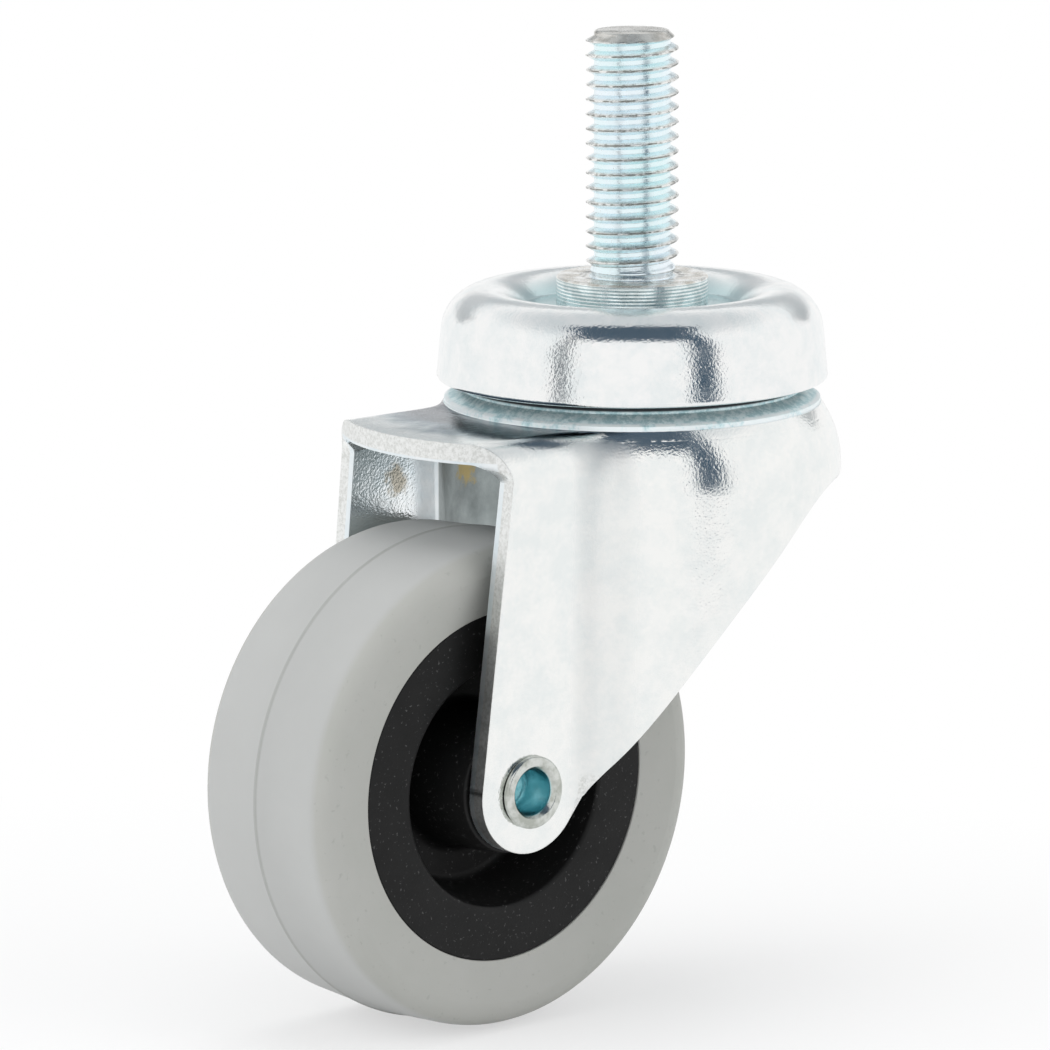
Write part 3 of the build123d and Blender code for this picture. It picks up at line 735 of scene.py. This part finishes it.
def fork():
    """The drawn fork, from its solid: softened sheet edges, rounder shoulder and creases."""
    shape = bmesh.new()
    shape.from_mesh(nodes["fork"].data)
    bmesh.ops.remove_doubles(shape, verts=shape.verts, dist=2e-6)
    bmesh.ops.dissolve_limit(shape, angle_limit=math.radians(0.05), use_dissolve_boundaries=False,
                             verts=shape.verts, edges=shape.edges, delimit=set())
    cuts = [((0, 0, height), (0, 0, 1)) for height in CUT_HEIGHTS]
    cuts += [((CUT_START - CUT_STEP * step, 0, 0), (1, 0, 0)) for step in range(CUT_COUNT)]
    for place, normal in cuts:
        bmesh.ops.bisect_plane(shape, geom=shape.verts[:] + shape.edges[:] + shape.faces[:], dist=1e-7,
                               plane_co=Vector(place) * MM, plane_no=normal)
    bmesh.ops.triangulate(shape, faces=shape.faces)
    round_skin(shape)
    bmesh.ops.remove_doubles(shape, verts=shape.verts, dist=8e-6)
    bmesh.ops.dissolve_degenerate(shape, edges=shape.edges, dist=1e-6)
    bmesh.ops.recalc_face_normals(shape, faces=shape.faces)
    made = piece(shape, "drawn_fork", "fork", fork_zinc, "fork", sharp=40)
    soften = made.modifiers.new("soft_edges", "BEVEL")
    soften.width = 0.16 * MM
    soften.segments = 3
    soften.limit_method = "ANGLE"
    soften.angle_limit = math.radians(50)
    soften.harden_normals = True


stem()
cap()
tyre()
hub()
rivet()
fork()


def dress(node, material):
    """Give a solid that is shown as it is its finish."""
    mesh = nodes[node].data
    mesh.materials.clear()
    mesh.materials.append(material)


for node in nodes:
    if "ball" in node:
        dress(node, ball_steel)
dress("lower_race", race_steel)
dress("axle_sleeve", race_steel)


def shown_apart(tree, lit, shown, share, output):
    """Show the camera and polished surfaces something else than what lights the castor."""
    path = tree.nodes.new("ShaderNodeLightPath")
    seen = either(tree, path.outputs["Is Camera Ray"], path.outputs["Is Glossy Ray"],
                  path.outputs["Is Transmission Ray"])
    if share is not None:
        seen = both(tree, seen, share)
    mix = tree.nodes.new("ShaderNodeMixShader")
    tree.links.new(seen, mix.inputs[0])
    tree.links.new(lit, mix.inputs[1])
    tree.links.new(shown, mix.inputs[2])
    tree.links.new(mix.outputs[0], output)


def matt_paper(name, colour, roughness):
    """Paper or cloth without any gloss."""
    finish = bpy.data.materials.new(name)
    finish.use_nodes = True
    shader = finish.node_tree.nodes["Principled BSDF"]
    shader.inputs["Base Color"].default_value = (*colour, 1)
    shader.inputs["Roughness"].default_value = roughness
    shader.inputs["Specular IOR Level"].default_value = 0.0
    return finish, shader


def staged(sheet, name, finish):
    """Hang a sheet in the studio, outside the castor."""
    mesh = bpy.data.meshes.new(name)
    sheet.to_mesh(mesh)
    sheet.free()
    mesh.materials.append(finish)
    made = bpy.data.objects.new(name, mesh)
    bpy.context.scene.collection.objects.link(made)
    return made


def floor():
    """A plain pale floor that keeps the castor's shadow and fades into the white."""
    paper, shader = matt_paper("floor_paper", (0.93, 0.93, 0.93), 0.9)
    tree = paper.node_tree
    glow = tree.nodes.new("ShaderNodeEmission")
    glow.inputs["Color"].default_value = (1, 1, 1, 1)
    glow.inputs["Strength"].default_value = 1.0
    place = tree.nodes.new("ShaderNodeTexCoord").outputs["Object"]
    away, _ = radius_of(tree, place, AXLE_AT)
    share = graded(tree, away, 0.55, 1.0, *FLOOR_FADE)
    shown_apart(tree, shader.outputs[0], glow.outputs[0], share,
                tree.nodes["Material Output"].inputs["Surface"])
    sheet = bmesh.new()
    bmesh.ops.create_grid(sheet, x_segments=1, y_segments=1, size=3.0)
    bmesh.ops.translate(sheet, verts=sheet.verts, vec=(0, 0, FLOOR_HEIGHT))
    staged(sheet, "studio_floor", paper)


def world():
    """Even white surroundings, a little grey overhead where polished surfaces see them."""
    surroundings = bpy.data.worlds.new("white_studio")
    bpy.context.scene.world = surroundings
    surroundings.use_nodes = True
    tree = surroundings.node_tree
    lit = tree.nodes["Background"]
    lit.inputs["Color"].default_value = (0.96, 0.98, 1.0, 1)
    lit.inputs["Strength"].default_value = 0.52
    shown = tree.nodes.new("ShaderNodeBackground")
    shown.inputs["Strength"].default_value = 1.0
    direction = tree.nodes.new("ShaderNodeTexCoord").outputs["Generated"]
    split = tree.nodes.new("ShaderNodeSeparateXYZ")
    tree.links.new(direction, split.inputs[0])
    overhead = eased(tree, split.outputs[2], 0.55, 0.92)
    tree.links.new(tinted(tree, overhead, (1.0, 1.0, 1.0), (0.66, 0.69, 0.71)), shown.inputs["Color"])
    shown_apart(tree, lit.outputs[0], shown.outputs[0], None, tree.nodes["World Output"].inputs["Surface"])


def lamp(name, place, size, power):
    """A soft box aimed at the castor."""
    light = bpy.data.lights.new(name, "AREA")
    light.shape = "RECTANGLE"
    light.size, light.size_y = size
    light.energy = power
    made = bpy.data.objects.new(name, light)
    bpy.context.scene.collection.objects.link(made)
    made.location = place
    made.rotation_euler = (Vector((0, 0, -0.03)) - Vector(place)).to_track_quat("-Z", "Y").to_euler()
    made.visible_glossy = False


def card(name, wide, high, centre, facing, colour):
    """A cloth card between the soft boxes, seen only in polished metal."""
    cloth, _ = matt_paper(name + "_cloth", colour, 1.0)
    sheet = bmesh.new()
    bmesh.ops.create_grid(sheet, x_segments=1, y_segments=1, size=0.5)
    bmesh.ops.scale(sheet, verts=sheet.verts, vec=(wide, high, 1))
    turn = (Vector(facing) - Vector(centre)).to_track_quat("Z", "Y").to_matrix()
    bmesh.ops.rotate(sheet, verts=sheet.verts, cent=(0, 0, 0), matrix=turn)
    bmesh.ops.translate(sheet, verts=sheet.verts, vec=centre)
    hung = staged(sheet, name, cloth)
    hung.visible_camera = False
    hung.visible_diffuse = False
    hung.visible_shadow = False
    hung.visible_transmission = False


def around(turn, distance, height):
    """A place round the castor, at an angle from the camera's own side."""
    angle = math.radians(CAMERA_TURN + turn)
    return (distance * math.sin(angle), -distance * math.cos(angle), height)


def camera():
    """The camera at the photograph's angle, for a picture 1050 by 1050."""
    turn, rise, roll = (math.radians(a) for a in (CAMERA_TURN, CAMERA_RISE, CAMERA_ROLL))
    back = Vector((math.sin(turn) * math.cos(rise), -math.cos(turn) * math.cos(rise), math.sin(rise)))
    level = Vector((math.cos(turn), math.sin(turn), 0))
    upright = back.cross(level)
    right = math.cos(roll) * level + math.sin(roll) * upright
    up = -math.sin(roll) * level + math.cos(roll) * upright
    lens = bpy.data.cameras.new("photo_camera")
    lens.lens = SENSOR_WIDTH * LENS_PIXELS / PICTURE_PIXELS
    lens.sensor_width = SENSOR_WIDTH
    lens.clip_start = 0.05
    lens.clip_end = 20.0
    made = bpy.data.objects.new("photo_camera", lens)
    bpy.context.scene.collection.objects.link(made)
    pose = Matrix((right, up, back)).transposed().to_4x4()
    pose.translation = CAMERA_TARGET + CAMERA_DISTANCE * back
    made.matrix_world = pose
    bpy.context.scene.camera = made


floor()
world()
camera()
lamp("key_box", around(-62, 0.8, 0.40), (0.7, 0.8), 3.7)
lamp("fill_box", around(66, 0.8, 0.30), (0.6, 0.7), 2.0)
lamp("top_box", (0.05, 0.1, 0.8), (0.7, 0.7), 2.4)
card("card_right", 0.105, 0.60, around(42, 0.42, 0.21), (0, 0, 0.21), (0.06, 0.10, 0.145))
card("card_left", 0.05, 0.60, around(-42, 0.42, 0.21), (0, 0, 0.21), (0.16, 0.18, 0.20))
card("card_over", 0.52, 0.40, around(0, 0.26, 0.44), (0, 0, 0), (0.09, 0.13, 0.175))
card("card_back", 1.6, 0.26, around(180, 0.7, 0.31), (0, 0, 0.1), (0.60, 0.62, 0.63))

bpy.context.scene.view_settings.view_transform = "Standard"
